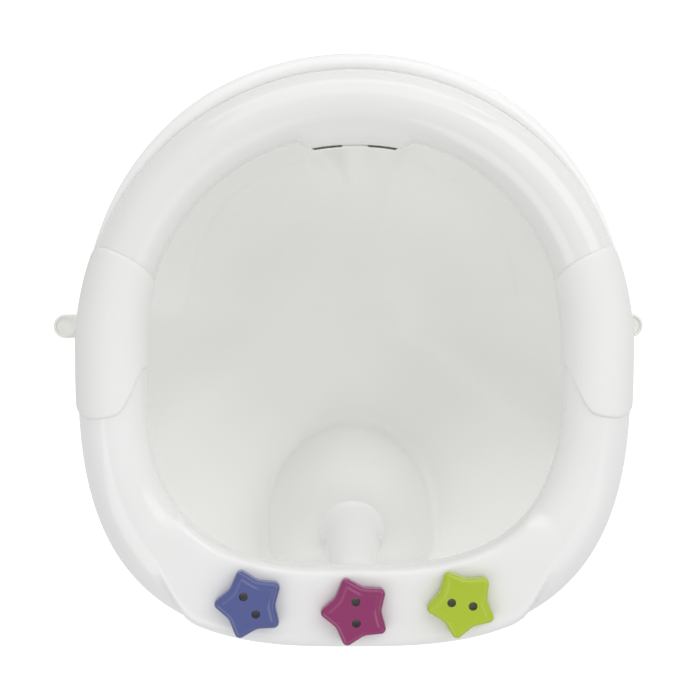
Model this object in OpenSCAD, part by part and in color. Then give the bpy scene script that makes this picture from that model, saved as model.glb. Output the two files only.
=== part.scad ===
// Baby bath seat: a moulded bucket on four suction cups, held inside a round rail
// with soft arm pads, a pommel and three turning stars on the front bar.
// Millimetres, +Z up, the seat's front towards -Y, origin on the floor under the rail's centre.

/* [Rail] */
// Width over the rail at the arm pads
rail_width = 340; // [320:2:360]
// Length from the front bar to the back lip
rail_length = 363; // [347:2:381]
// Height of the rail's middle above the floor
rail_height = 185; // [178:1:196]
// Width of the tube at the arms
arm_tube = 41.5; // [38:0.5:46]
// Width of the tube at the back
back_tube = 40.5; // [37:0.5:45]
// How far the tube swells inwards at the latch
latch_swell = 5.5; // [4:0.5:7]
// Depth of the front bar, front to back
bar_depth = 49; // [46:0.5:53]
// Height of the tube
tube_height = 41; // [38:0.5:44]
// Reach of the tray's lip behind the tube
back_lip = 9.5; // [5:0.5:13]
// Wall of the rail's mouldings
rail_wall = 2.8; // [2.2:0.1:3.4]
// Gap that shows as a seam between two mouldings
seam = 0.3; // [0.2:0.05:0.4]

/* [Arm pads] */
// How far a pad reaches behind the rail's centre
pad_back = 64; // [54:1:72]
// How far a pad reaches in front of the rail's centre
pad_front = 38; // [30:1:46]
// Thickness of a pad
pad_thick = 1.1; // [0.9:0.1:1.5]

/* [Front panel and stars] */
// Angle from the bar's middle to the panel's pointed end
panel_angle = 49; // [45:1:53]
// Angle between neighbouring stars, seen from the rail's centre
star_angle = 23; // [20:0.5:26]
// Radius of a star at its points
star_reach = 21.5; // [19:0.5:23]
// Radius of a star at its hollows
star_waist = 15.8; // [14.5:0.1:16.4]
// Height of a star
star_height = 8.5; // [7:0.5:10]
// Wall of a star
star_wall = 2; // [1.6:0.1:2.4]
// Diameter of the two button holes
button_hole = 5.4; // [4.4:0.1:5.8]
// Distance between the two button holes
button_pitch = 13.2; // [12.6:0.1:14.2]
// Diameter of the pin that a star turns on
pin_d = 5; // [4:0.1:5.4]

/* [Bucket] */
// Height of the seat floor above the bath
floor_z = 38; // [34:1:44]
// Wall of the bucket
shell_wall = 3; // [2.4:0.1:3.6]
// Height of the leg pan's front edge
pan_z = 58; // [52:1:66]
// How far the leg pan stays inside the rail's outline
pan_inset = 9; // [6:0.5:14]
// Half width of the pommel hump at the floor
hump_half = 55; // [48:1:60]
// Height of the hump's top above the bath
hump_z = 98; // [88:1:108]
// Distance from the rail's centre to the hump's rounded back end
hump_back = 64; // [58:1:72]
// Width of the post between the hump and the bar
post_width = 30; // [24:1:34]

/* [Suction cups] */
// Distance from the centre to each side cup
cup_side = 140; // [134:1:146]
// Distance from the centre to the front and back cups
cup_end = 117; // [111:1:119]
// Diameter of a cup
cup_d = 52; // [46:1:56]
// Height of a cup's bell
cup_h = 14; // [12:0.5:16]
// Diameter of a cup's stem
stem_d = 10; // [8:0.5:12]
// Length of a cup's stem
stem_len = 12; // [9:0.5:15]
// Reach of a pull tab beyond its cup
tab_len = 38; // [30:1:44]
// Width of a pull tab
tab_w = 16; // [13:0.5:19]
// Thickness of a pull tab
tab_t = 2.4; // [1.8:0.1:3]

/* [Hidden] */

// Outlines as half width, reach to the back and its squareness, reach to the front and its squareness
rail_front = rail_length / 2;
rail_back = rail_length / 2 - back_lip;
outer_line = [rail_width / 2, rail_back, 2, rail_front, 2.9];
inner_line = [rail_width / 2 - arm_tube, rail_back - back_tube, 2.1, rail_front - bar_depth, 3];
pan_line = [outer_line[0] - pan_inset, rail_back, 2, rail_front - pan_inset, 2.9];

// Angles round the tube: 0 outside, 90 on top, 180 inside, 270 underneath
inner_seam = 214;
wall_inside = 218;
wall_outside = 230;
edge_gap = 0.8;
// Angles round the seat, seen from above: 0 at the right, 90 at the back, 270 at the front
step = 6;
joint_angle = 5;
wing_end = 13;
pan_start = -32;
// The panel ends on a slant, from panel_angle near the bore to panel_outer near the outside
panel_outer = 31;
panel_fade = 7;
panel_square = 7;
latch_half = 12;
panel_z = rail_height + tube_height / 2;

// Hump outline about its own centre, which lies under the post
hump_y = -(rail_front - bar_depth - 2);
hump_front = rail_front - 2 * pan_inset + hump_y;
hump_line = [hump_half, -hump_y - hump_back, 2, hump_front, 4];
hump_round = 2.6;

peg_collar = 0.7;
peg_gap = 0.1;
peg_shank = pin_d + 3;
pin_fit = 0.05;
star_base = panel_z + peg_gap + peg_collar + 0.2;
pin_len = star_height - star_wall - 0.8;
boss_d = 20;
foot_d = cup_d - 14;
socket_fit = 0.1;

function mix(a, b, k) = a + (b - a) * k;
function ease(x) = let (k = min(1, max(0, x))) k * k * (3 - 2 * k);

// Radius of an egg-shaped outline in the direction of an angle
function egg(line, t) =
    let (
        back = sin(t) >= 0,
        n = back ? line[2] : line[4],
        across = abs(cos(t)) / line[0],
        along = abs(sin(t)) / (back ? line[1] : line[3])
    ) pow(pow(across, n) + pow(along, n), -1 / n);

// A point given by its radius and height, turned to an angle
function turned(t, p) = [p[0] * cos(t), p[0] * sin(t), p[1]];

// How far an angle lies from the front of the seat
function off_front(t) = abs((t + 270) % 360 - 180);

function panel_share(t, a) =
    let (end = mix(panel_outer, panel_angle, ease((a - 15) / 100)))
        ease((end + panel_fade / 2 - off_front(t)) / panel_fade);

// The tube's inner lower side swells inwards behind the latch
function swell(t, a) = latch_swell * ease((latch_half + 4 - abs(t - 90)) / 4) * ease((a - 125) / 45) * ease((290 - a) / 50);

// The tube's section at one angle round the seat, grown outwards by grow
function tube(t, a, grow = 0) =
    let (
        out = egg(outer_line, t),
        bore = egg(inner_line, t),
        n = sin(a) > 0 ? mix(2, panel_square, panel_share(t, a)) : 2,
        k = pow(pow(abs(cos(a)), n) + pow(abs(sin(a)), n), -1 / n)
    ) [
        (out + bore) / 2 + ((out - bore) / 2 + grow) * k * cos(a) - swell(t, a),
        rail_height + (tube_height / 2 + grow) * k * sin(a)
    ];

function tube_grid(ts, as, grow = 0) = [for (t = ts) [for (a = as) turned(t, tube(t, a, grow))]];

function split(q) = [[q[0], q[1], q[2]], [q[0], q[2], q[3]]];
function split_all(quads) = [for (q = quads) each split(q)];

// A closed sheet between two grids with the same rows and columns; loop joins its last row to its first
module sheet(outer, inner, loop = false) {
    rows = len(outer);
    cols = len(outer[0]);
    size = rows * cols;
    spans = [for (i = [0 : loop ? rows - 1 : rows - 2]) i];
    steps = [for (j = [0 : cols - 2]) j];
    function o(i, j) = (i % rows) * cols + j;
    function n(i, j) = size + (i % rows) * cols + j;
    skins = [for (i = spans, j = steps) each [
        [o(i, j), o(i, j + 1), o(i + 1, j + 1), o(i + 1, j)],
        [n(i, j), n(i + 1, j), n(i + 1, j + 1), n(i, j + 1)]
    ]];
    edges = [for (i = spans) each [
        [o(i, 0), o(i + 1, 0), n(i + 1, 0), n(i, 0)],
        [o(i + 1, cols - 1), o(i, cols - 1), n(i, cols - 1), n(i + 1, cols - 1)]
    ]];
    ends = loop ? [] : [for (j = steps) each [
        [o(0, j + 1), o(0, j), n(0, j), n(0, j + 1)],
        [o(rows - 1, j), o(rows - 1, j + 1), n(rows - 1, j + 1), n(rows - 1, j)]
    ]];
    polyhedron([for (row = outer) each row, for (row = inner) each row],
        split_all(concat(skins, edges, ends)));
}

function middle(ring) = [for (k = [0 : 2]) [for (p = ring) p[k]] * [for (p = ring) 1] / len(ring)];

// A closed solid through rings of points, from the lowest ring to the highest
module loft(rings) {
    rows = len(rings);
    cols = len(rings[0]);
    size = rows * cols;
    function v(i, j) = i * cols + j % cols;
    sides = split_all([for (i = [0 : rows - 2], j = [0 : cols - 1])
        [v(i, j), v(i + 1, j), v(i + 1, j + 1), v(i, j + 1)]]);
    caps = [for (j = [0 : cols - 1]) each [
        [size, v(0, j), v(0, j + 1)],
        [size + 1, v(rows - 1, j + 1), v(rows - 1, j)]
    ]];
    polyhedron([for (ring = rings) each ring, middle(rings[0]), middle(rings[rows - 1])],
        concat(sides, caps));
}

// Bucket

// 1 where the wall climbs to the rail, 0 where the leg pan is open
function wall_share(t) =
    let (side = 90 - abs(90 - (t > 270 ? t - 360 : t))) ease((side - pan_start) / (wing_end - pan_start));

function rim_inside(t) = mix([egg(pan_line, t) - shell_wall, pan_z], tube(t, wall_inside, seam + 0.1), wall_share(t));
function rim_outside(t) = mix([egg(pan_line, t), pan_z - 0.5], tube(t, wall_outside, seam + 0.1), wall_share(t));

// How steeply the bowl climbs: a reclined back, upright sides and a nearly flat leg pan
function climb(t) = mix(4, mix(2.9, 2.35, pow(max(0, sin(t)), 2)), wall_share(t));

scoop_half = 27;
scoop_depth = 4;
// The dished scoop below the latch, widest at the top
function scoop(t, u) =
    let (k = (u - 0.72) / 0.28, x = abs(cos(t)) * egg(inner_line, t) * u)
        sin(t) > 0 && k > 0 ? scoop_depth * sin(180 * pow(k, 1.4)) * ease(1.25 - x / (scoop_half * max(k, 0.1))) : 0;

// Outline of the shallow recess in the backrest
recess_line = [109, 120, 2.4, 120, 2.4];
recess = 1.3;
recess_edge = 4;
function recessed(t, r) =
    let (inside = egg(recess_line, t) - r)
        recess * ease((sin(t) + 0.1) / 0.5) * ease(inside / recess_edge) * ease((r - 50) / 30);

// A point of the bowl: u runs from 0 at the middle to 1 at the rim, depth goes out through the wall
function bowl(t, u, depth = 0) =
    let (
        rim = rim_inside(t),
        p = climb(t),
        rise = rim[1] - floor_z,
        slope = rise * p * pow(u, p - 1) / rim[0],
        run = sqrt(1 + slope * slope),
        d = depth + (depth > 0 ? 0 : recessed(t, u * rim[0])) + scoop(t, u)
    ) [u * rim[0] + d * slope / run, floor_z + rise * pow(u, p) - d / run];

bowl_ts = [for (t = [0 : step : 359]) t];
bowl_us = [0.15, 0.35, 0.52, 0.65, 0.75, 0.81, 0.85, 0.89, 0.94];
function bowl_ring(u, depth) = [for (t = bowl_ts) turned(t, bowl(t, u, depth))];

module bowl_outside() {
    loft(concat(
        [for (u = bowl_us) bowl_ring(u, shell_wall)],
        [[for (t = bowl_ts) turned(t, rim_outside(t))]],
        [[for (t = bowl_ts) turned(t, rim_inside(t))]]
    ));
}

module bowl_inside() {
    loft(concat(
        [for (u = bowl_us) bowl_ring(u, 0)],
        [[for (t = bowl_ts) turned(t, rim_inside(t))]],
        [[for (t = bowl_ts) turned(t, [rim_inside(t)[0], rail_height + tube_height])]]
    ));
}

function bowl_z(x, y) =
    let (t = atan2(y, x), a = t < 0 ? t + 360 : t) bowl(a, norm([x, y]) / rim_inside(a)[0])[1];

// The hump's surface: v runs from 0 at the floor to 1 at the top
function hump_scale(v) = pow(max(0, 1 - pow(v, hump_round)), 1 / hump_round) + 0.1 * pow(max(0, 1 - v / 0.12), 2);
function hump_ring(v, inset, drop) = [for (t = [0 : 12 : 359])
    let (
        r = max(1, egg(hump_line, t) * hump_scale(v) - inset),
        x = r * cos(t),
        y = hump_y + r * sin(t)
    ) [x, y, mix(bowl_z(x, y) - drop, hump_z - inset, v)]];
hump_vs = [0, 0.04, 0.1, 0.3, 0.5, 0.68, 0.82, 0.92, 0.98];

module hump_outside() {
    loft([for (v = hump_vs) hump_ring(v, 0, shell_wall / 2)]);
}

module hump_inside() {
    loft(concat([hump_ring(0, shell_wall, 3 * shell_wall)], [for (v = hump_vs) hump_ring(v, shell_wall, 0)]));
}

cup_places = [[cup_side, 0, 0], [0, cup_end, 90], [-cup_side, 0, 180], [0, -cup_end, 270]];

// A buttress that reaches from the bucket's underside out to a cup, grown inwards by inset
module foot(reach, inset) {
    hull() {
        translate([reach, 0, cup_h + 0.5 - 2 * inset]) cylinder(d = foot_d - 2 * inset, h = 8 + inset, $fn = 24);
        translate([reach - 62, 0, floor_z - 2]) cylinder(d = foot_d - 2 * inset, h = 8, $fn = 24);
        translate([reach - 36, 0, floor_z + 48]) sphere(d = 22 - 2 * inset, $fn = 16);
    }
}

module feet() {
    for (place = cup_places) {
        if (place[2] != 270) {
            rotate(place[2]) {
                difference() {
                    foot(norm([place[0], place[1]]), 0);
                    foot(norm([place[0], place[1]]), shell_wall);
                }
            }
            socket(place, floor_z + 8);
        }
    }
}

module socket(place, top) {
    translate([place[0], place[1], cup_h + 0.5]) cylinder(d = boss_d, h = top - cup_h - 0.5, $fn = 24);
}

// The front cup's socket is a column that stands inside the hump
module column() { socket(cup_places[3], hump_z - 2.5); }

module seat_shell() {
    color("white") difference() {
        union() {
            difference() {
                union() {
                    bowl_outside();
                    feet();
                }
                bowl_inside();
            }
            hump_outside();
            column();
        }
        difference() {
            hump_inside();
            column();
        }
        for (place = cup_places) {
            translate([place[0], place[1], 0])
                cylinder(d = stem_d + 2 * socket_fit, h = cup_h + stem_len + 1, $fn = 24);
        }
    }
}

// Rail

lip_start = 104;
lip_full = 154;
lip_bulge = 0.7;
function lip(t) = back_lip * pow(ease((off_front(t) - lip_start) / (lip_full - lip_start)), lip_bulge);

// The tray's outside, which swells into the lip round the back
function tray_point(t, a) =
    let (p = tube(t, a), k = ease((a - 285) / 70)) turned(t, [p[0] + lip(t) * k, p[1]]);

module rail_tray() {
    as = [for (k = [0 : 9]) mix(inner_seam + edge_gap, 360 - edge_gap, k / 9)];
    ts = [for (t = [0 : step : 359]) t];
    color("white") sheet(
        [for (t = ts) [for (a = as) tray_point(t, a)]],
        tube_grid(ts, as, -rail_wall),
        loop = true
    );
}

function rail_as(count) = [for (k = [0 : count]) mix(0, inner_seam, k / count)];

module back_rail() {
    as = rail_as(14);
    ts = [for (k = [0 : 28]) mix(joint_angle + 0.1, 180 - joint_angle - 0.1, k / 28)];
    color("white") sheet(tube_grid(ts, as), tube_grid(ts, as, -rail_wall));
}

// Where a star sits: the middle of the bar at its own angle
function star_place(k) =
    let (t = 270 + k * star_angle, r = (egg(outer_line, t) + egg(inner_line, t)) / 2) [r * cos(t), r * sin(t), 0];

module front_rail() {
    as = rail_as(17);
    ts = [for (k = [0 : 36]) mix(180 - joint_angle + 0.1, 360 + joint_angle - 0.1, k / 36)];
    color("white") difference() {
        sheet(tube_grid(ts, as), tube_grid(ts, as, -rail_wall));
        for (k = [-1 : 1]) {
            translate(star_place(k) + [0, 0, panel_z - rail_wall - 4])
                cylinder(d = peg_shank + 2 * peg_gap, h = rail_wall + 8, $fn = 48);
        }
    }
}

pad_seat = 0.4;
// A soft sleeve over the joint of the two upper mouldings, cut back towards its inner front corner
module arm_pad(side) {
    as = [for (k = [0 : 15]) mix(3, 208, k / 15)];
    r = rail_width / 2 - arm_tube / 2;
    function front(a) = pad_front - (a < 90 ? 4 * pow((90 - a) / 58, 2) : 27 * pow(ease((a - 93) / 65), 1.3));
    function back(a) = pad_back - 8 * pow(abs(a - 75) / 75, 2.5);
    function t(a, k) = mix(-atan(front(a) / r), atan(back(a) / r), k);
    function grid(grow) = [for (k = [0 : 8]) [for (a = as) turned(t(a, k / 8), tube(t(a, k / 8), a, grow))]];
    color("gainsboro") mirror([side < 0 ? 1 : 0, 0, 0])
        sheet(grid(pad_seat + pad_thick), grid(pad_seat));
}

module arm_pad_left() { arm_pad(-1); }
module arm_pad_right() { arm_pad(1); }

slit_in = 3.6;
// The catch that holds the backrest to the rail, with a slit at each side of its tongue
module back_latch() {
    edge = latch_half;
    as = [180, 188, 196, 205, 213];
    function gap(t) = abs(t - 90) < slit_in + 0.2 || abs(t - 90) > edge - 0.4 ? seam : seam + 0.9;
    ts = [for (k = [-edge, -edge + 0.4, -edge + 0.8, -8, -slit_in - 0.4, -slit_in, 0,
        slit_in, slit_in + 0.4, 8, edge - 0.8, edge - 0.4, edge]) 90 + k];
    color("white") sheet(
        [for (t = ts) [for (a = as) turned(t, tube(t, a, 2.8))]],
        [for (t = ts) [for (a = as) turned(t, tube(t, a, gap(t)))]]
    );
}

// The front bar's own space, cut out of the post that stands under it
module bar_space() {
    loft([for (t = [294 : -4 : 246]) [for (a = [0 : 10 : 350]) turned(t, tube(t, a, seam))]]);
}

// Post between the hump and the bar, wider at its foot
module pommel_post() {
    top = [0, -(rail_front - bar_depth / 2 - 3), rail_height - 6];
    foot = [0, hump_y + 4, hump_z - 3];
    color("white") difference() {
        loft([for (k = [0, 0.06, 0.14, 0.3, 0.6, 1])
            let (
                s = pow(k, 0.7),
                half = mix(0.62, 0.5, s) * post_width,
                reach = mix(0.62, 0.42, s) * post_width,
                at = [0, mix(foot[1], top[1], s), mix(foot[2], top[2], k)]
            ) [for (t = [0 : 12 : 359]) at + [half * cos(t), reach * sin(t), 0]]]);
        loft([for (v = hump_vs) hump_ring(v, -seam, shell_wall / 2)]);
        bar_space();
    }
}

// Stars

// Outline of a star: five rounded points joined by straight flanks to rounded hollows
tip_r = 3.4;
hollow_r = 9;
function star_line(inset) =
    let (
        tip_at = star_reach - tip_r,
        hollow_at = star_waist + hollow_r,
        reach = [hollow_at * cos(36) - tip_at, hollow_at * sin(36)],
        flank = atan2(reach[1], reach[0]) - acos((tip_r + hollow_r) / norm(reach))
    ) [for (arm = [0 : 72 : 288]) each concat(
        [for (k = [-2 : 2]) let (a = arm + k * flank / 2)
            [tip_at * cos(arm) + (tip_r - inset) * cos(a), tip_at * sin(arm) + (tip_r - inset) * sin(a)]],
        [for (k = [1 : -1 : -1]) let (m = arm + 36, a = m + 180 + k * (flank - 36))
            [hollow_at * cos(m) + (hollow_r + inset) * cos(a), hollow_at * sin(m) + (hollow_r + inset) * sin(a)]]
    )];

function star_ring(inset, z) = [for (p = star_line(inset)) [p[0], p[1], z]];

edge_r = 3;
// A hollow cap like a button, open underneath, with a bored boss for its pin
module star(k, turn) {
    roof = star_height - star_wall;
    translate(star_place(k) + [0, 0, star_base]) rotate(turn) difference() {
        union() {
            loft([
                star_ring(star_wall + 0.8, roof),
                star_ring(star_wall, roof - 0.8),
                star_ring(star_wall, 0),
                star_ring(0, 0),
                star_ring(0, star_height - edge_r),
                star_ring(edge_r * (1 - cos(35)), star_height - edge_r * (1 - sin(35))),
                star_ring(edge_r * (1 - cos(65)), star_height - edge_r * (1 - sin(65))),
                star_ring(edge_r, star_height)
            ]);
            translate([0, 0, 0.2]) cylinder(d = pin_d + 2.4, h = roof, $fn = 48);
        }
        translate([0, 0, -1]) cylinder(d = pin_d + 2 * pin_fit, h = 1 + pin_len + 0.4, $fn = 48);
        for (side = [-1, 1]) {
            translate([0, side * button_pitch / 2, roof - 1]) cylinder(d = button_hole, h = star_wall + 3, $fn = 32);
        }
    }
}

module star_blue() { color("slateblue") star(-1, 34.7); }
module star_magenta() { color("mediumvioletred") star(0, 181.3); }
module star_green() { color("yellowgreen") star(1, 260.5); }

// A push-in peg: flange under the panel, collar on it and the pin that the star turns on
module star_peg(k) {
    under = panel_z - rail_wall - peg_gap;
    color("white") translate(star_place(k)) {
        translate([0, 0, under - 1.5]) cylinder(d = pin_d + 7, h = 1.5, $fn = 48);
        translate([0, 0, under - 1]) cylinder(d = peg_shank, h = rail_wall + 2 * peg_gap + 1.2, $fn = 48);
        translate([0, 0, panel_z + peg_gap]) cylinder(d = pin_d + 7, h = peg_collar, $fn = 48);
        translate([0, 0, panel_z]) cylinder(d = pin_d, h = star_base - panel_z + pin_len, $fn = 48);
    }
}

module star_peg_left() { star_peg(-1); }
module star_peg_centre() { star_peg(0); }
module star_peg_right() { star_peg(1); }

// Suction cups

neck_r = 8;
rim_t = 2;
// A thin bell with a plain stem, and a pull tab that ends in a raised ring
module suction_cup(place) {
    r = cup_d / 2;
    bell = [for (k = [0 : 6]) let (s = k / 6) [mix(r, neck_r, s), rim_t + (cup_h - rim_t - 1) * sin(90 * s)]];
    hollow = [for (k = [0 : 6]) let (s = k / 6) [mix(0, r - rim_t, s), (cup_h - 5) * cos(90 * s)]];
    color("honeydew") translate([place[0], place[1], 0]) rotate(place[2]) {
        rotate_extrude($fn = 72) polygon(concat(
            hollow,
            [[r, 0]],
            bell,
            [[neck_r, cup_h], [stem_d / 2, cup_h], [stem_d / 2, cup_h + stem_len], [0, cup_h + stem_len]]
        ));
        translate([r - 4, -tab_w / 2, rim_t]) cube([tab_len + 4 - tab_w / 2, tab_w, tab_t]);
        translate([r + tab_len - tab_w / 2, 0, rim_t]) {
            cylinder(d = tab_w, h = tab_t, $fn = 48);
            difference() {
                cylinder(d = tab_w, h = tab_t + 1, $fn = 48);
                translate([0, 0, -1]) cylinder(d = tab_w - 4, h = tab_t + 3, $fn = 48);
            }
        }
    }
}

module suction_cup_right() { suction_cup(cup_places[0]); }
module suction_cup_back() { suction_cup(cup_places[1]); }
module suction_cup_left() { suction_cup(cup_places[2]); }
module suction_cup_front() { suction_cup(cup_places[3]); }

seat_shell();
rail_tray();
back_rail();
front_rail();
arm_pad_left();
arm_pad_right();
pommel_post();
back_latch();
star_blue();
star_magenta();
star_green();
star_peg_left();
star_peg_centre();
star_peg_right();
suction_cup_left();
suction_cup_right();
suction_cup_front();
suction_cup_back();
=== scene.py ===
"""Looks of the baby bath seat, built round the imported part. Metres, the part's own frame."""

import math

import bmesh
import bpy
import numpy as np
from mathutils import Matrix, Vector


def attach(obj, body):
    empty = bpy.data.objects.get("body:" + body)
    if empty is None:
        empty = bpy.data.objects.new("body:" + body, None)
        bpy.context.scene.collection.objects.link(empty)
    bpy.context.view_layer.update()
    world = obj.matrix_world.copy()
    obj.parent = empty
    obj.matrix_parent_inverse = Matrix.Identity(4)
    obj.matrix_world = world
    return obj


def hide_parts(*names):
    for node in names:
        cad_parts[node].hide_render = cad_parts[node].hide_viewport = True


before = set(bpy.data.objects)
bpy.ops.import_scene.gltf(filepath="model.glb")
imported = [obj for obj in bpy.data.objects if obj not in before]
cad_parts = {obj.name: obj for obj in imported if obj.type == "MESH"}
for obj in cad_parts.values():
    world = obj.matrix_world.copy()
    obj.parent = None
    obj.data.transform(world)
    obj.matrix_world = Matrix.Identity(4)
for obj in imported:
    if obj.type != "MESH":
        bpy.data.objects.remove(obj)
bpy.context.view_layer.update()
MM = 0.001

# Sizes of the part in millimetres and degrees, named as in its source. The star panel's ends are a
# little crisper here, and the scoop below the latch is deeper.
RAIL_WIDTH, RAIL_LENGTH, RAIL_HEIGHT = 340, 363, 185
ARM_TUBE, BACK_TUBE, BAR_DEPTH, TUBE_HEIGHT = 41.5, 40.5, 49, 41
BACK_LIP, RAIL_WALL, SEAM = 9.5, 2.8, 0.3
LATCH_SWELL, LATCH_HALF, LATCH_THICK, SLIT_IN = 5.5, 12, 2.2, 3.6
PAD_BACK, PAD_FRONT, PAD_THICK, PAD_SEAT = 64, 38, 1.1, 0.4
PANEL_ANGLE, PANEL_OUTER, PANEL_FADE, PANEL_SQUARE = 46.5, 30, 5, 7
STAR_ANGLE, STAR_REACH, STAR_WAIST, STAR_HEIGHT, STAR_WALL = 23, 21.5, 15.8, 8.5, 2
BUTTON_HOLE, BUTTON_PITCH = 5.4, 13.2
FLOOR_Z, SHELL_WALL, PAN_Z, PAN_INSET = 38, 3, 58, 9
HUMP_HALF, HUMP_Z, HUMP_BACK, POST_WIDTH = 55, 98, 64, 30
CUP_SIDE, CUP_END, CUP_D, CUP_H, STEM_D, STEM_LEN = 140, 117, 52, 14, 10, 12
TAB_LEN, TAB_W, TAB_T = 38, 16, 2.4

RAIL_FRONT = RAIL_LENGTH / 2
RAIL_BACK = RAIL_LENGTH / 2 - BACK_LIP
OUTER = (RAIL_WIDTH / 2, RAIL_BACK, 2, RAIL_FRONT, 2.9)
INNER = (RAIL_WIDTH / 2 - ARM_TUBE, RAIL_BACK - BACK_TUBE, 2.1, RAIL_FRONT - BAR_DEPTH, 3)
PAN = (OUTER[0] - PAN_INSET, RAIL_BACK, 2, RAIL_FRONT - PAN_INSET, 2.9)
RECESS = (109, 120, 2.4, 120, 2.4)
HUMP_Y = -(RAIL_FRONT - BAR_DEPTH - 2)
HUMP = (HUMP_HALF, -HUMP_Y - HUMP_BACK, 2, RAIL_FRONT - 2 * PAN_INSET + HUMP_Y, 4)
INNER_SEAM, RIM_AT, EDGE_GAP, JOINT_ANGLE, JOINT_GAP = 214, 218, 0.8, 5, 0.1
RECESS_DEPTH, SCOOP_DEPTH, SCOOP_HALF, SCOOP_START = 1.3, 10, 26, 0.68
FILLET = 0.13
PANEL_Z = RAIL_HEIGHT + TUBE_HEIGHT / 2
STAR_BASE = PANEL_Z + 1.0


# Shapes


def rad(x):
    return np.radians(x)


def mix(a, b, k):
    return a + (b - a) * k


def ease(x):
    k = np.clip(x, 0, 1)
    return k * k * (3 - 2 * k)


def egg(line, t):
    """Radius of an egg-shaped outline in the direction t, in degrees."""
    t = np.asarray(t, float)
    back = np.sin(rad(t)) >= 0
    n = np.where(back, line[2], line[4])
    across = np.abs(np.cos(rad(t))) / line[0]
    along = np.abs(np.sin(rad(t))) / np.where(back, line[1], line[3])
    return (across**n + along**n) ** (-1 / n)


def off_front(t):
    """Degrees away from the middle of the front bar."""
    return np.abs((np.asarray(t, float) + 270) % 360 - 180)


def panel_share(t, a):
    """1 where the tube is squared into the star panel, 0 where it is round."""
    end = mix(PANEL_OUTER, PANEL_ANGLE, ease((a - 15) / 100))
    return ease((end + PANEL_FADE / 2 - off_front(t)) / PANEL_FADE)


def latch_bump(t, a):
    """How far the tube swells inwards where the latch is."""
    near = ease((LATCH_HALF + 4 - np.abs(np.asarray(t, float) - 90)) / 4)
    return LATCH_SWELL * near * ease((a - 125) / 45) * ease((290 - a) / 50)


def tube(t, a, grow=0.0):
    """Radius and height of the rail's section at angle a, grown outwards by grow."""
    out, bore = egg(OUTER, t), egg(INNER, t)
    n = np.where(np.sin(rad(a)) > 0, mix(2, PANEL_SQUARE, panel_share(t, a)), 2)
    k = (np.abs(np.cos(rad(a))) ** n + np.abs(np.sin(rad(a))) ** n) ** (-1 / n)
    r = (out + bore) / 2 + ((out - bore) / 2 + grow) * k * np.cos(rad(a)) - latch_bump(t, a)
    return r, RAIL_HEIGHT + (TUBE_HEIGHT / 2 + grow) * k * np.sin(rad(a))


def placed(t, r, z):
    t, r, z = np.broadcast_arrays(np.asarray(t, float), r, z)
    return np.stack([r * np.cos(rad(t)), r * np.sin(rad(t)), z], axis=-1)


def tube_points(t, a, grow=0.0):
    return placed(t, *tube(t, a, grow))


# Meshes


def mesh_piece(name, points, faces, finish, body="seat", node=None, slot=None):
    """A smooth piece from points in millimetres; it rides on body and stands for node."""
    mesh = bpy.data.meshes.new(name)
    mesh.from_pydata([tuple(p) for p in np.asarray(points, float) * MM], [], faces)
    mesh.validate()
    mesh.polygons.foreach_set("use_smooth", [True] * len(mesh.polygons))
    mesh.update()
    piece = bpy.data.objects.new(name, mesh)
    bpy.context.scene.collection.objects.link(piece)
    piece.data.materials.append(finish)
    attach(piece, body)
    if node:
        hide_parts(*([node] if isinstance(node, str) else node))
    return piece


def grid_faces(rows, cols, start=0, row_loop=False, col_loop=False, flip=False):
    faces = []
    for i in range(rows if row_loop else rows - 1):
        for j in range(cols if col_loop else cols - 1):
            a, b = start + i * cols + j, start + i * cols + (j + 1) % cols
            c, d = start + ((i + 1) % rows) * cols + (j + 1) % cols, start + ((i + 1) % rows) * cols + j
            faces.append((a, d, c, b) if flip else (a, b, c, d))
    return faces


def stations(start, end, count, edge):
    """Places from start to end, closer together at both ends, and each one's depth in the rounded edge."""
    turn = np.array([0, 0.1, 0.3, 0.6, 1.0])
    inner = np.linspace(start + edge, end - edge, count)
    place = np.concatenate([start + edge * turn[:-1], inner, end - edge * turn[-2::-1]])
    depth = np.concatenate([turn[:-1], np.ones(count), turn[-2::-1]])
    return place, depth


def shell_piece(name, outside, inside, finish, loop=False, **kind):
    """A closed sheet between two grids of points; loop joins the last row to the first."""
    rows, cols = outside.shape[:2]
    size = rows * cols
    faces = grid_faces(rows, cols, row_loop=loop)
    faces += grid_faces(rows, cols, size, row_loop=loop, flip=True)
    for i in range(rows if loop else rows - 1):
        here, there = i * cols, (i + 1) % rows * cols
        faces.append((here, there, size + there, size + here))
        here, there = here + cols - 1, there + cols - 1
        faces.append((there, here, size + here, size + there))
    if not loop:
        last = (rows - 1) * cols
        for j in range(cols - 1):
            faces.append((j + 1, j, size + j, size + j + 1))
            faces.append((last + j, last + j + 1, size + last + j + 1, size + last + j))
    points = np.concatenate([outside.reshape(-1, 3), inside.reshape(-1, 3)])
    return mesh_piece(name, points, outward(points, faces), finish, **kind)


def rounded(depth, radius):
    """How far a rounded edge of this radius falls back at a depth from 0 at the edge to 1."""
    return radius * (1 - np.sqrt(np.clip(1 - (1 - depth) ** 2, 0, 1)))


def outward(points, faces):
    """The faces of a closed solid, turned to point outwards."""
    volume = 0.0
    for f in faces:
        for i in range(1, len(f) - 1):
            volume += np.dot(points[f[0]], np.cross(points[f[i]], points[f[i + 1]]))
    return faces if volume > 0 else [f[::-1] for f in faces]


def loft(rings):
    """Points and faces of a closed solid through rings, with a point at each end."""
    rings = np.asarray(rings, float)
    rows, cols = rings.shape[:2]
    faces = grid_faces(rows, cols, col_loop=True)
    low, high = rows * cols, rows * cols + 1
    for j in range(cols):
        k = (j + 1) % cols
        faces.append((low, k, j))
        faces.append((high, (rows - 1) * cols + j, (rows - 1) * cols + k))
    points = np.concatenate([rings.reshape(-1, 3), rings[:1].mean(axis=1), rings[-1:].mean(axis=1)])
    return points, outward(points, faces)


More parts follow.
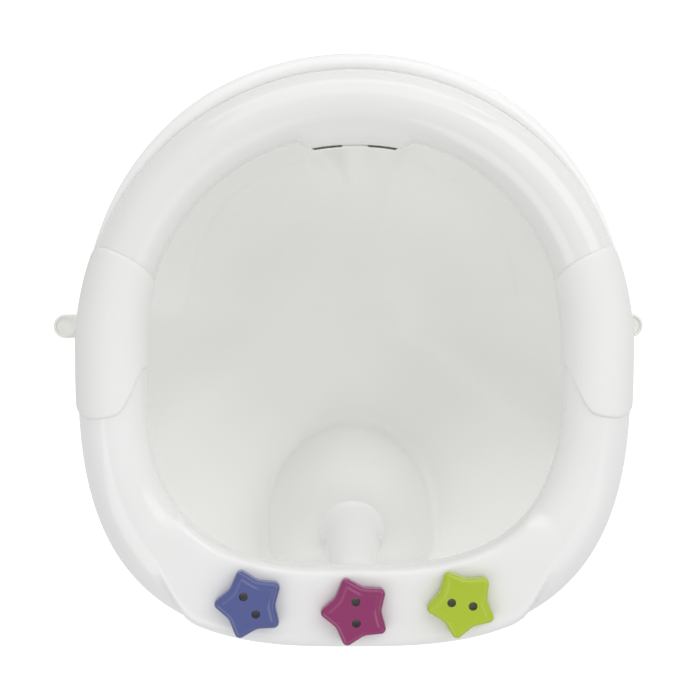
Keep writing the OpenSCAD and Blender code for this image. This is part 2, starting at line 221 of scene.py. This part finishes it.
def joined(*solids):
    """Several closed solids as one list of points and faces."""
    points, faces = [], []
    for solid_points, solid_faces in solids:
        start = sum(len(p) for p in points)
        points.append(solid_points)
        faces += [tuple(start + i for i in f) for f in solid_faces]
    return np.concatenate(points), faces


# Finishes

TONE_SPREAD, GLOSS_SPREAD = 0.03, 0.15


def plastic(name, colour, roughness, coat=0.0, bump=0.05, grain=900, waviness=0.0):
    """Moulded plastic with a faint mould texture, flow lines and slightly uneven gloss."""
    finish = bpy.data.materials.new(name)
    finish.use_nodes = True
    nodes, links = finish.node_tree.nodes, finish.node_tree.links
    shader = nodes["Principled BSDF"]
    shader.inputs["IOR"].default_value = 1.49
    shader.inputs["Coat Weight"].default_value = coat
    shader.inputs["Coat Roughness"].default_value = 0.06
    place = nodes.new("ShaderNodeTexCoord")

    def noise(scale, detail=2.0):
        n = nodes.new("ShaderNodeTexNoise")
        n.inputs["Scale"].default_value = scale
        n.inputs["Detail"].default_value = detail
        links.new(place.outputs["Object"], n.inputs["Vector"])
        return n.outputs["Fac"]

    cloud = noise(14)
    tone = nodes.new("ShaderNodeMix")
    tone.data_type = "RGBA"
    tone.inputs["A"].default_value = (*[c * (1 - TONE_SPREAD) for c in colour], 1)
    tone.inputs["B"].default_value = (*[min(1, c * (1 + TONE_SPREAD)) for c in colour], 1)
    links.new(cloud, tone.inputs["Factor"])
    links.new(tone.outputs["Result"], shader.inputs["Base Color"])
    gloss = nodes.new("ShaderNodeMapRange")
    gloss.inputs["To Min"].default_value = roughness * (1 - GLOSS_SPREAD)
    gloss.inputs["To Max"].default_value = roughness * (1 + GLOSS_SPREAD)
    links.new(noise(35), gloss.inputs["Value"])
    links.new(gloss.outputs["Result"], shader.inputs["Roughness"])
    fine = nodes.new("ShaderNodeBump")
    fine.inputs["Strength"].default_value = bump
    fine.inputs["Distance"].default_value = 0.0002
    links.new(noise(grain), fine.inputs["Height"])
    if waviness:
        wave = nodes.new("ShaderNodeBump")
        wave.inputs["Strength"].default_value = waviness
        wave.inputs["Distance"].default_value = 0.001
        links.new(noise(22, 1.0), wave.inputs["Height"])
        links.new(wave.outputs["Normal"], fine.inputs["Normal"])
    links.new(fine.outputs["Normal"], shader.inputs["Normal"])
    return finish


shell_white = plastic("moulded shell white", (0.893, 0.898, 0.872), 0.34, bump=0.04, waviness=0.03)
rail_white = plastic("moulded rail white", (0.81, 0.81, 0.795), 0.20, coat=0.5, bump=0.03, waviness=0.04)
# The tray keeps the rail's white slot but is painted lighter: a painted highlight standing in for the strong
# light on its lip ledge.
tray_white_painted_highlight = plastic("moulded tray white with painted highlight", (0.90, 0.90, 0.895), 0.20, coat=0.3, bump=0.02, waviness=0.03)
front_white = plastic("glossy front white", (0.845, 0.845, 0.84), 0.18, coat=0.35, bump=0.02,
                      waviness=0.03)
# The post keeps the front white slot but is painted lighter: painted light that brightens it where the front
# bar shades it.
post_white_painted_light = plastic("glossy post white with painted light", (0.92, 0.92, 0.91), 0.12, coat=0.8, bump=0.02, waviness=0.02)
pad_white = plastic("soft pad white", (0.84, 0.84, 0.825), 0.62, bump=0.25, grain=1400)
peg_white = plastic("peg white", (0.78, 0.78, 0.77), 0.35)
star_blue = plastic("star blue", (0.066, 0.089, 0.275), 0.22, coat=0.5, bump=0.05)
star_magenta = plastic("star magenta", (0.252, 0.010, 0.112), 0.22, coat=0.5, bump=0.05)
star_green = plastic("star lime green", (0.400, 0.530, 0.008), 0.22, coat=0.5, bump=0.05)
cup_clear = plastic("clear cup plastic", (0.97, 0.98, 0.92), 0.34, bump=0.05)
clear = cup_clear.node_tree.nodes["Principled BSDF"]
clear.inputs["Transmission Weight"].default_value = 0.15


# Rail


def lip(t):
    """How far the tray's lip stands out behind the tube."""
    return BACK_LIP * ease((off_front(t) - 104) / 50) ** 0.7


def make_rail_tray():
    """The lower gutter: its outside swells into a lip whose ledge shows behind the tube."""
    a, depth = stations(INNER_SEAM + EDGE_GAP, 345, 34, 2.2)
    depth[len(depth) // 2:] = 1
    t = np.arange(0, 360, 1.5)[:, None]
    r, z = tube(t, a, -rounded(depth, 0.6))
    r = r + lip(t) * ease((a - 285) / 70)
    top = RAIL_HEIGHT - 0.1
    edge = 0.5 + 0.75 * lip(t)
    reach = tube(t, 359.9)[0] + lip(t)
    b = np.linspace(4, 90, 15)
    r = np.concatenate([r, reach - edge * (1 - np.cos(rad(b))), reach - edge - 0.3], axis=1)
    ledge = top - edge * (1 - np.sin(rad(b)))
    z = np.concatenate([z, ledge, np.full((len(t), 1), top)], axis=1)
    inside = np.concatenate([a, 345 + 14.9 * np.linspace(0.1, 1, len(b) + 1)])
    low_r, low_z = tube(t, inside, -RAIL_WALL)
    # Painted highlight: the tray wears the lighter tray white so its lip ledge reads as strongly lit.
    shell_piece("rail_tray_moulding", placed(t, r, z), placed(t, low_r, np.minimum(low_z, top)),
                tray_white_painted_highlight, loop=True, node="rail_tray", slot="rail_white")


def make_rail_half(name, node, start, end, finish, slot):
    """The upper shell of the rail from one joint to the next."""
    a, deep_a = stations(0, INNER_SEAM, 72, 2.0)
    t, deep_t = stations(start, end, int((end - start) / 1.4), 0.3)
    drop = rounded(np.minimum(deep_t[:, None], deep_a[None, :]), 0.45)
    outside = tube_points(t[:, None], a[None, :], -drop)
    inside = tube_points(t[:, None], a[None, :], -RAIL_WALL)
    shell_piece(name, outside, inside, finish, node=node, slot=slot)


make_rail_tray()
make_rail_half("back_rail_moulding", "back_rail", JOINT_ANGLE + JOINT_GAP, 180 - JOINT_ANGLE - JOINT_GAP,
               rail_white, "rail_white")
make_rail_half("front_rail_moulding", "front_rail", 180 - JOINT_ANGLE + JOINT_GAP,
               360 + JOINT_ANGLE - JOINT_GAP, front_white, "front_white")


def make_arm_pad(side, name, node):
    """A soft sleeve on the tube, longer behind the joint than in front, with hollowed front corners."""
    middle = (RAIL_WIDTH - ARM_TUBE) / 2
    a, deep_a = stations(3, 208, 60, 3.0)
    k, deep_k = stations(0, 1, 40, 0.02)
    outer_corner = 4 * (np.clip(90 - a, 0, None) / 58) ** 2
    inner_corner = 27 * ease((a - 93) / 65) ** 1.3
    front = PAD_FRONT - np.where(a < 90, outer_corner, inner_corner)
    back = PAD_BACK - 8 * (np.abs(a - 75) / 75) ** 2.5
    start, end = [np.degrees(np.arctan(y / middle))[None, :] for y in (-front, back)]
    t = mix(start, end, k[:, None])
    lift = PAD_SEAT + PAD_THICK - rounded(np.minimum(deep_k[:, None], deep_a[None, :]), 1.3)
    outside = tube_points(t, a[None, :], lift)
    inside = tube_points(t, a[None, :], np.minimum(PAD_SEAT, lift - 0.1))
    if side < 0:
        outside[..., 0] *= -1
        inside[..., 0] *= -1
        outside, inside = outside[::-1], inside[::-1]
    shell_piece(name, outside, inside, pad_white, node=node, slot="pad_white")


make_arm_pad(-1, "soft_pad_left", "arm_pad_left")
make_arm_pad(1, "soft_pad_right", "arm_pad_right")


# Bucket


def wall_share(t):
    """1 where the bucket's wall climbs to the rail, 0 where it ends as the flat leg pan."""
    t = np.asarray(t, float)
    side = 90 - np.abs(90 - np.where(t > 270, t - 360, t))
    return ease((side + 32) / (13 + 32))


def rim(t, inset, a):
    """Radius and height of the bucket's rim, against the tube at angle a or at the pan's edge."""
    r, z = tube(t, a, SEAM + 0.1)
    k = wall_share(t)
    return mix(egg(PAN, t) - inset, r, k), mix(PAN_Z - (0 if inset else 0.5), z, k)


def climb(t):
    """Power of the curve from the floor to the rim: the higher, the flatter the floor."""
    return mix(4, mix(2.9, 2.35, np.clip(np.sin(rad(t)), 0, None) ** 2), wall_share(t))


def scoop(t, u):
    """Depth of the finger scoop below the latch, a soft V that widens towards the rim."""
    k = (u - SCOOP_START) / (1 - SCOOP_START)
    x = np.abs(np.cos(rad(t))) * egg(INNER, t) * u
    across = ease(1.15 * (1 - x / (SCOOP_HALF * np.maximum(k, 0.05))))
    deep = SCOOP_DEPTH * np.sin(rad(180 * np.clip(k, 0, 1) ** 2)) * across
    return np.where((np.sin(rad(t)) > 0) & (k > 0), deep, 0)


def recessed(t, r):
    """Depth of the shallow panel in the backrest, which fades out at the latch and towards the floor."""
    beside_latch = ease((np.abs(np.asarray(t, float) - 90) - 8) / 7)
    upwards = ease((np.sin(rad(t)) + 0.1) / 0.5) * ease((r - 50) / 30)
    return RECESS_DEPTH * beside_latch * upwards * ease((egg(RECESS, t) - r) / 4)


def bowl(t, u, depth=0.0):
    """Radius and height of the bucket's wall: u is 0 in the middle and 1 at the rim."""
    rim_r, rim_z = rim(t, SHELL_WALL, RIM_AT)
    notch = latch_bump(t, RIM_AT) * wall_share(t)
    rim_r, notch = rim_r + notch, notch * ease((u - 0.78) / 0.22)
    p = climb(t)
    rise = rim_z - FLOOR_Z
    slope = rise * p * u ** (p - 1) / rim_r
    run = np.sqrt(1 + slope * slope)
    d = depth + (0 if depth > 0 else recessed(t, u * rim_r)) + scoop(t, u)
    return u * rim_r - notch + d * slope / run, FLOOR_Z + rise * u**p - d / run


def bowl_z(x, y):
    """Height of the bucket's inside over a point of the bath."""
    t = np.degrees(np.arctan2(y, x)) % 360
    reach = rim(t, SHELL_WALL, RIM_AT)[0] + latch_bump(t, RIM_AT) * wall_share(t)
    return bowl(t, np.clip(np.hypot(x, y) / reach, 0, 1))[1]


def hump_ring(v, inset=0.0):
    """One ring of the hump, from a rounded fillet on the floor at v 0 to its top at v 1."""
    side = np.arange(0, 360, 3.0)
    dome = np.clip(1 - v**2.6, 0, None) ** (1 / 2.6)
    low = np.clip(1 - v / FILLET, 0, 1)
    r = egg(HUMP, side) * (dome + FILLET * (1 - math.sqrt(1 - low * low))) - inset
    r = np.maximum(r, 0.5)
    x, y = r * np.cos(rad(side)), HUMP_Y + r * np.sin(rad(side))
    return np.stack([x, y, mix(bowl_z(x, y), HUMP_Z - inset, v)], axis=-1)


def cut_away(piece, *cutters):
    """Take the cutters' space out of a piece, then remove them."""
    for cutter in cutters:
        cut = piece.modifiers.new("cut", "BOOLEAN")
        cut.operation, cut.solver, cut.object = "DIFFERENCE", "EXACT", cutter
    result = bpy.data.meshes.new_from_object(piece.evaluated_get(bpy.context.evaluated_depsgraph_get()))
    piece.modifiers.clear()
    piece.data = result
    for cutter in cutters:
        bpy.data.objects.remove(cutter)


def spare(name, points, faces):
    """A plain solid that is only used to cut or to be joined."""
    mesh = bpy.data.meshes.new(name)
    mesh.from_pydata([tuple(p) for p in np.asarray(points, float) * MM], [], faces)
    mesh.polygons.foreach_set("use_smooth", [True] * len(mesh.polygons))
    piece = bpy.data.objects.new(name, mesh)
    bpy.context.scene.collection.objects.link(piece)
    return piece


def disc(reach, turn, radius, z, count=32):
    """A ring of points at a distance from the middle, in the direction turn."""
    a = np.arange(0, 360, 360 / count)
    x, y = reach + radius * np.cos(rad(a)), radius * np.sin(rad(a))
    c, s = math.cos(math.radians(turn)), math.sin(math.radians(turn))
    return np.stack([c * x - s * y, s * x + c * y, np.full(len(a), float(z))], axis=-1)


def buttress(reach, turn, inset):
    """A foot's hull, from its cup up to the bucket's underside, made smaller by inset."""
    radius = CUP_D / 2 - 7 - inset
    low = CUP_H + 0.5 - 2 * inset
    rings = [disc(reach, turn, radius, z) for z in (low, low + 8 + inset)]
    rings += [disc(reach - 62, turn, radius, z) for z in (FLOOR_Z - 2, FLOOR_Z + 6)]
    for b in np.linspace(0, 80, 7):
        rings.append(disc(reach - 36, turn, (11 - inset) * math.cos(math.radians(b)),
                          FLOOR_Z + 48 + (11 - inset) * math.sin(math.radians(b))))
    body = bmesh.new()
    for p in np.concatenate(rings):
        body.verts.new(p)
    made = bmesh.ops.convex_hull(body, input=body.verts)
    bmesh.ops.delete(body, geom=list({v for v in made["geom_interior"] + made["geom_unused"]
                                      if isinstance(v, bmesh.types.BMVert)}), context="VERTS")
    body.verts.index_update()
    points = np.array([v.co[:] for v in body.verts])
    faces = [tuple(v.index for v in f.verts) for f in body.faces]
    body.free()
    return spare("buttress", points, outward(points, faces))


def pipe(reach, turn, top):
    """A round socket for a cup's stem, open underneath."""
    bore, outside, low = STEM_D / 2 + 0.1, STEM_D, CUP_H + 0.5
    rings = [(bore, CUP_H + STEM_LEN + 1), (bore, low), (bore + 0.2, low), (outside - 0.2, low),
             (outside, low + 0.2), (outside, top)]
    return loft([disc(reach, turn, radius, z, 48) for radius, z in rings])


def make_seat_shell():
    """The bucket with a hollow hump, three hollow feet and four sockets, one moulding."""
    coarse, fine = 2.0, 0.5
    t = np.concatenate([np.arange(0, 70, coarse), np.arange(70, 110, fine), np.arange(110, 360, coarse)])
    u = np.concatenate([np.linspace(0.03, 0.72, 30), np.linspace(0.735, 0.985, 34)])
    rings = [placed(t, *bowl(t, k)) for k in u]
    inner, outer = rim(t, SHELL_WALL, RIM_AT), rim(t, 0, 230)
    for k in (0, 0.2, 0.5, 0.8, 1):
        swell = 0.8 * np.sin(math.pi * k) * (1 - wall_share(t))
        rings.append(placed(t, mix(inner[0], outer[0], k), mix(inner[1], outer[1], k) + swell))
    rings += [placed(t, *bowl(t, k, SHELL_WALL)) for k in u[::-1]]
    bucket = spare("bucket", *loft(rings))
    curve = FILLET * (1 - np.cos(rad(np.linspace(0, 90, 13))))
    crown = 1 - 0.1 * np.linspace(0.9, 0.02, 12) ** 2
    v = np.concatenate([curve, np.linspace(FILLET + 0.03, 0.9, 26), crown])
    inset = 1.5 * SHELL_WALL
    space = [hump_ring(0, inset) - [0, 0, 12]] + [hump_ring(k, inset) for k in v[::2]]
    cut_away(bucket, spare("hump space", *loft(space)))
    dome = [hump_ring(k, SHELL_WALL) - [0, 0, 1] for k in v[::-2]] + [hump_ring(k) for k in v]
    solids = [loft(dome), pipe(-CUP_END, 90, HUMP_Z - 3)]
    lift = [placed(t, *bowl(t, k, SHELL_WALL / 2)) for k in u]
    above = lift + [placed(t, inner[0], np.full(len(t), RAIL_HEIGHT + TUBE_HEIGHT))]
    for reach, turn in ((CUP_SIDE, 0), (CUP_END, 90), (CUP_SIDE, 180)):
        foot = buttress(reach, turn, 0)
        cut_away(foot, buttress(reach, turn, SHELL_WALL), spare("bowl space", *loft(above)))
        solids.append(mesh_parts(foot))
        solids.append(pipe(reach, turn, FLOOR_Z - 2))
        bpy.data.objects.remove(foot)
    solids.append(mesh_parts(bucket))
    bpy.data.objects.remove(bucket)
    shell = mesh_piece("seat_shell_moulding", *joined(*solids), shell_white,
                       node="seat_shell", slot="shell_white")
    shell.data.set_sharp_from_angle(angle=math.radians(38))


def mesh_parts(piece):
    """Points in millimetres and faces of a piece."""
    points = np.array([v.co[:] for v in piece.data.vertices]) / MM
    return points, [tuple(f.vertices) for f in piece.data.polygons]


make_seat_shell()


def make_back_latch():
    """The catch under the tube; at its middle and ends it closes, and the two slits show between."""
    a, deep_a = stations(180, 213, 16, 2.5)
    t, deep_t = stations(90 - LATCH_HALF, 90 + LATCH_HALF, 60, 0.3)
    gap = np.where((np.abs(t - 90) < SLIT_IN) | (np.abs(t - 90) > LATCH_HALF - 0.4), 0.04, SEAM + 0.9)
    drop = rounded(np.minimum(deep_t[:, None], deep_a[None, :]), 1.0)
    outside = tube_points(t[:, None], a[None, :], LATCH_THICK - drop)
    inside = tube_points(t[:, None], a[None, :], gap[:, None])
    shell_piece("latch_catch", outside, inside, shell_white, node="back_latch", slot="shell_white")


def make_pommel_post():
    """The post from the hump up into the front bar, narrower at the top and flared at its foot."""
    side = np.arange(0, 360, 4.0)
    top_y, top_z = -(RAIL_FRONT - BAR_DEPTH / 2 - 3), RAIL_HEIGHT - 16
    foot_y, foot_z = HUMP_Y + 4, HUMP_Z - 3
    rings = []
    for k in np.concatenate([np.linspace(0, 0.2, 21), np.linspace(0.24, 1, 14)]):
        s = k**0.7
        flare = 4 * np.clip(1 - k / 0.14, 0, 1) ** 2.5
        x = (mix(0.62, 0.5, s) * POST_WIDTH + flare) * np.cos(rad(side))
        y = mix(foot_y, top_y, s) + (mix(0.62, 0.42, s) * POST_WIDTH + flare) * np.sin(rad(side))
        rings.append(np.stack([x, y, np.full(len(side), mix(foot_z, top_z, k))], axis=-1))
    # Painted light: the post wears the lighter post white to offset the shade under the front bar.
    mesh_piece("pommel_post_moulding", *loft(rings), post_white_painted_light, node="pommel_post", slot="front_white")


make_back_latch()
make_pommel_post()


# Stars

TIP_R, HOLLOW_R, STAR_EDGE = 3.4, 9, 3
# Share of the outline's size, and depth below the edge, of the rings that dish a star's top
DISH = ((0.97, 0.02), (0.93, 0.12), (0.88, 0.35), (0.83, 0.47), (0.78, 0.5))


def star_place(k):
    """Middle of a star on the front bar: k is -1 for the left one, 0 and 1."""
    t = 270 + k * STAR_ANGLE
    r = (egg(OUTER, t) + egg(INNER, t)) / 2
    return np.array([r * math.cos(math.radians(t)), r * math.sin(math.radians(t)), 0])


def star_line(inset):
    """Outline of five rounded points joined by straight flanks to rounded hollows."""
    tip_at, hollow_at = STAR_REACH - TIP_R, STAR_WAIST + HOLLOW_R
    dx, dy = hollow_at * math.cos(math.radians(36)) - tip_at, hollow_at * math.sin(math.radians(36))
    flank = math.degrees(math.atan2(dy, dx) - math.acos((TIP_R + HOLLOW_R) / math.hypot(dx, dy)))
    line = []
    for arm in range(0, 360, 72):
        for k in np.linspace(-1, 1, 13):
            a, at = math.radians(arm + k * flank), math.radians(arm)
            line.append((tip_at * math.cos(at) + (TIP_R - inset) * math.cos(a),
                         tip_at * math.sin(at) + (TIP_R - inset) * math.sin(a)))
        for k in np.linspace(1, -1, 9):
            at = math.radians(arm + 36)
            a = at + math.pi + k * math.radians(flank - 36)
            line.append((hollow_at * math.cos(at) + (HOLLOW_R + inset) * math.cos(a),
                         hollow_at * math.sin(at) + (HOLLOW_R + inset) * math.sin(a)))
    return np.array(line)


def make_star(k, turn, name, node, body, finish):
    """A hollow cap with a rounded edge, a dished top and two button holes, turned to its place."""
    roof = STAR_HEIGHT - STAR_WALL
    rings = [(STAR_WALL + 0.8, roof), (STAR_WALL + 0.2, roof - 0.3), (STAR_WALL, roof - 0.8), (STAR_WALL, 0.2),
             (STAR_WALL - 0.2, 0), (0.25, 0), (0, 0.3), (0, STAR_HEIGHT - STAR_EDGE)]
    for b in rad(np.linspace(12, 90, 8)):
        rings.append((STAR_EDGE * (1 - math.cos(b)), STAR_HEIGHT - STAR_EDGE * (1 - math.sin(b))))
    lines = [np.insert(star_line(inset), 2, z, axis=1) for inset, z in rings]
    flat = lines[-1] * [1, 1, 0]
    for share, sunk in DISH:
        lines.append(flat * share + [0, 0, STAR_HEIGHT - sunk])
    star = mesh_piece(name, *loft(lines), finish, body=body, node=node, slot=node)
    holes = []
    for side in (-1, 1):
        middle = [0, side * BUTTON_PITCH / 2, 0]
        hole = [disc(0, 0, BUTTON_HOLE / 2, z, 48) + middle for z in (roof - 1, STAR_HEIGHT + 2)]
        holes.append(spare("button hole", *loft(hole)))
    cut_away(star, *holes)
    turned = star.data
    c, s = math.cos(math.radians(turn)), math.sin(math.radians(turn))
    at = star_place(k) + [0, 0, STAR_BASE]
    for vertex in turned.vertices:
        x, y, z = vertex.co
        vertex.co = (c * x - s * y + at[0] * MM, s * x + c * y + at[1] * MM, z + at[2] * MM)
    turned.set_sharp_from_angle(angle=math.radians(35))
    turned.update()


make_star(-1, 34.7, "star_cap_blue", "star_blue", "left_star", star_blue)
make_star(0, 181.3, "star_cap_magenta", "star_magenta", "centre_star", star_magenta)
make_star(1, 260.5, "star_cap_green", "star_green", "right_star", star_green)

for node in ("star_peg_left", "star_peg_centre", "star_peg_right"):
    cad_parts[node].data.materials.clear()
    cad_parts[node].data.materials.append(peg_white)


# Suction cups


def cup_solids():
    """One cup at the origin with its pull tab towards +X: a bell with a stem, a tab and its raised ring."""
    reach, neck, lip_t = CUP_D / 2, 8, 2
    k = np.linspace(0, 1, 25)
    line = [(mix(0.3, reach - lip_t, s), (CUP_H - 5) * math.cos(s * math.pi / 2)) for s in k]
    line += [(reach - 0.3, 0), (reach, 0.3), (reach, lip_t - 0.6), (reach - 0.3, lip_t)]
    climb_z = CUP_H - lip_t - 1
    line += [(mix(reach - 0.5, neck, s), lip_t + climb_z * math.sin(s * math.pi / 2)) for s in k]
    line += [(neck, CUP_H - 0.4), (neck - 0.4, CUP_H), (STEM_D / 2, CUP_H),
             (STEM_D / 2, CUP_H + STEM_LEN - 0.8), (STEM_D / 2 - 0.8, CUP_H + STEM_LEN)]
    bell = loft([disc(0, 0, r, z, 72) for r, z in line])
    half, end = TAB_W / 2, reach + TAB_LEN - TAB_W / 2
    b = rad(np.linspace(-90, 90, 25))
    slab = []
    edge = [(0.5, 0), (0.15, 0.15), (0, 0.5)]
    for inset, z in edge + [(inset, TAB_T - z) for inset, z in edge[::-1]]:
        w = half - inset
        x = np.concatenate([[reach - 4], end + w * np.cos(b), [reach - 4]])
        y = np.concatenate([[-w], w * np.sin(b), [w]])
        slab.append(np.stack([x, y, np.full(len(x), lip_t + z)], axis=-1))
    low, high = lip_t + TAB_T - 0.3, lip_t + TAB_T + 1
    ring = [(half - 2, low), (half - 2, high - 0.4), (half - 1.6, high), (half - 0.5, high),
            (half - 0.1, high - 0.4), (half - 0.1, low)]
    rings = np.array([disc(end, 0, r, z, 48) for r, z in ring])
    faces = grid_faces(len(ring), 48, row_loop=True, col_loop=True)
    points = rings.reshape(-1, 3)
    return joined(bell, loft(slab), (points, outward(points, faces)))


def cup_tree():
    """Places a cup at the ends of the seat's two centre lines, each turned outwards."""
    tree = bpy.data.node_groups.new("four suction cups", "GeometryNodeTree")
    face = tree.interface
    face.new_socket("Geometry", in_out="INPUT", socket_type="NodeSocketGeometry")
    for name in ("Side reach", "End reach"):
        face.new_socket(name, in_out="INPUT", socket_type="NodeSocketFloat")
    face.new_socket("Finish", in_out="INPUT", socket_type="NodeSocketMaterial")
    face.new_socket("Geometry", in_out="OUTPUT", socket_type="NodeSocketGeometry")
    nodes, links = tree.nodes, tree.links

    def add(kind, **settings):
        node = nodes.new(kind)
        for name, value in settings.items():
            setattr(node, name, value)
        return node

    given, result = add("NodeGroupInput"), add("NodeGroupOutput")
    circle = add("GeometryNodeMeshCircle")
    circle.inputs["Vertices"].default_value = 4
    circle.inputs["Radius"].default_value = 1.0
    place, spread = add("GeometryNodeInputPosition"), add("GeometryNodeSetPosition")
    scale, move = add("ShaderNodeVectorMath", operation="MULTIPLY"), add("ShaderNodeCombineXYZ")
    index, spin = add("GeometryNodeInputIndex"), add("ShaderNodeCombineXYZ")
    quarter = add("ShaderNodeMath", operation="MULTIPLY")
    quarter.inputs[1].default_value = math.pi / 2
    copies, real = add("GeometryNodeInstanceOnPoints"), add("GeometryNodeRealizeInstances")
    coat = add("GeometryNodeSetMaterial")
    links.new(given.outputs["Side reach"], move.inputs["X"])
    links.new(given.outputs["End reach"], move.inputs["Y"])
    links.new(place.outputs["Position"], scale.inputs[0])
    links.new(move.outputs["Vector"], scale.inputs[1])
    links.new(circle.outputs["Mesh"], spread.inputs["Geometry"])
    links.new(scale.outputs["Vector"], spread.inputs["Position"])
    links.new(index.outputs["Index"], quarter.inputs[0])
    links.new(quarter.outputs["Value"], spin.inputs["Z"])
    links.new(spread.outputs["Geometry"], copies.inputs["Points"])
    links.new(given.outputs["Geometry"], copies.inputs["Instance"])
    links.new(spin.outputs["Vector"], copies.inputs["Rotation"])
    links.new(copies.outputs["Instances"], real.inputs["Geometry"])
    links.new(real.outputs["Geometry"], coat.inputs["Geometry"])
    links.new(given.outputs["Finish"], coat.inputs["Material"])
    links.new(coat.outputs["Geometry"], result.inputs["Geometry"])
    return tree


def make_cups():
    """The four cups as one mesh, placed by the tree."""
    cup = spare("suction_cups", *cup_solids())
    cup.data.materials.append(cup_clear)
    tree = cup_tree()
    copy = cup.modifiers.new("four cups", "NODES")
    copy.node_group = tree
    sockets = {item.name: item.identifier for item in tree.interface.items_tree if item.in_out == "INPUT"}
    copy[sockets["Side reach"]] = CUP_SIDE * MM
    copy[sockets["End reach"]] = CUP_END * MM
    copy[sockets["Finish"]] = cup_clear
    bpy.context.view_layer.update()
    four = bpy.data.meshes.new_from_object(cup.evaluated_get(bpy.context.evaluated_depsgraph_get()))
    cup.modifiers.clear()
    cup.data = four
    four.set_sharp_from_angle(angle=math.radians(50))
    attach(cup, "seat")
    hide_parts("suction_cup_left", "suction_cup_right", "suction_cup_front", "suction_cup_back")


make_cups()


# Studio

# Strength of the white background in a gloss, of the floor's own glow and of the light all round
GLOSS_SHARE, FLOOR_GLOW, SURROUND = 0.3, 0.62, 0.63
FLOOR_HALF, FLOOR_TONE = 6.0, 0.68
# Camera over the seat: degrees off straight down, distance, width of its frame and aim, in metres
TILT, LEAN, DISTANCE, FRAME_WIDTH, AIM = 5.5, 1.2, 1.4, 0.4296, (-0.0031, 0.0006, RAIL_HEIGHT * MM)


def seen_rays(nodes, links):
    """How much of the white background a ray sees: less of it in a gloss than straight or through plastic."""
    path = nodes.new("ShaderNodeLightPath")
    total = path.outputs["Is Camera Ray"]
    for kind, share in (("Is Transmission Ray", 1), ("Is Glossy Ray", GLOSS_SHARE)):
        part, either = nodes.new("ShaderNodeMath"), nodes.new("ShaderNodeMath")
        part.operation, either.operation = "MULTIPLY", "MAXIMUM"
        part.inputs[1].default_value = share
        links.new(path.outputs[kind], part.inputs[0])
        links.new(total, either.inputs[0])
        links.new(part.outputs["Value"], either.inputs[1])
        total = either.outputs["Value"]
    return total


def make_floor():
    """A plain pale floor that keeps the seat's shadow and shows white to the camera."""
    mesh = bpy.data.meshes.new("studio_floor")
    corners = [(x * FLOOR_HALF, y * FLOOR_HALF, 0) for x, y in ((-1, -1), (1, -1), (1, 1), (-1, 1))]
    mesh.from_pydata(corners, [], [(0, 1, 2, 3)])
    floor = bpy.data.objects.new("studio_floor", mesh)
    bpy.context.scene.collection.objects.link(floor)
    finish = bpy.data.materials.new("studio floor white")
    finish.use_nodes = True
    nodes, links = finish.node_tree.nodes, finish.node_tree.links
    shader = nodes["Principled BSDF"]
    shader.inputs["Base Color"].default_value = (FLOOR_TONE, FLOOR_TONE, FLOOR_TONE, 1)
    shader.inputs["Roughness"].default_value = 0.9
    shader.inputs["Specular IOR Level"].default_value = 0.0
    glow, both, seen = [nodes.new("ShaderNode" + kind) for kind in ("Emission", "AddShader", "Math")]
    glow.inputs["Color"].default_value = (1, 1, 1, 1)
    seen.operation = "MULTIPLY"
    seen.inputs[1].default_value = FLOOR_GLOW
    links.new(seen_rays(nodes, links), seen.inputs[0])
    links.new(seen.outputs["Value"], glow.inputs["Strength"])
    links.new(shader.outputs["BSDF"], both.inputs[0])
    links.new(glow.outputs["Emission"], both.inputs[1])
    links.new(both.outputs["Shader"], nodes["Material Output"].inputs["Surface"])
    floor.data.materials.append(finish)


def softbox(name, place, aim_height, width, height, power):
    """A rectangular lamp at place that looks at the seat's upright middle line."""
    lamp = bpy.data.lights.new(name, "AREA")
    lamp.shape, lamp.size, lamp.size_y, lamp.energy = "RECTANGLE", width, height, power
    light = bpy.data.objects.new(name, lamp)
    bpy.context.scene.collection.objects.link(light)
    light.location = place
    towards = Vector((0, 0, aim_height)) - Vector(place)
    light.rotation_euler = towards.to_track_quat("-Z", "Y").to_euler()


def make_studio():
    """Soft light all round, five softboxes and the camera of the photograph."""
    scene = bpy.context.scene
    world = bpy.data.worlds.new("studio")
    scene.world = world
    world.use_nodes = True
    nodes, links = world.node_tree.nodes, world.node_tree.links
    surround, seen = nodes["Background"], nodes.new("ShaderNodeBackground")
    surround.inputs["Color"].default_value = (1, 1, 1, 1)
    surround.inputs["Strength"].default_value = SURROUND
    seen.inputs["Color"].default_value = (1, 1, 1, 1)
    seen.inputs["Strength"].default_value = 1.0
    choose = nodes.new("ShaderNodeMixShader")
    links.new(seen_rays(nodes, links), choose.inputs["Fac"])
    links.new(surround.outputs["Background"], choose.inputs[1])
    links.new(seen.outputs["Background"], choose.inputs[2])
    links.new(choose.outputs["Shader"], nodes["World Output"].inputs["Surface"])
    softbox("back softbox", (0, 1.6, 1.25), 0.15, 1.85, 1.6, 6.8)
    softbox("back right softbox", (1.3, 0.9, 1.3), 0.15, 1.3, 1.3, 7.0)
    softbox("low back softbox", (0, 1.7, 0.4), 0.2, 2.4, 0.4, 3.6)
    softbox("front left softbox", (-1.0, -1.1, 1.6), 0.1, 1.5, 1.3, 7.4)
    softbox("front right softbox", (1.0, -1.1, 1.6), 0.1, 1.5, 1.3, 3.7)
    scene.view_settings.view_transform = "Standard"
    camera = bpy.data.objects.new("camera", bpy.data.cameras.new("camera"))
    scene.collection.objects.link(camera)
    scene.camera = camera
    camera.data.sensor_width = 36
    camera.data.lens = 36 * DISTANCE / FRAME_WIDTH
    camera.data.clip_start, camera.data.clip_end = 0.05, 20
    camera.rotation_euler = (math.radians(-TILT), math.radians(-LEAN), 0)
    back = camera.rotation_euler.to_matrix() @ Vector((0, 0, 1))
    camera.location = Vector(AIM) + back * DISTANCE


make_floor()
make_studio()

bpy.context.view_layer.update()
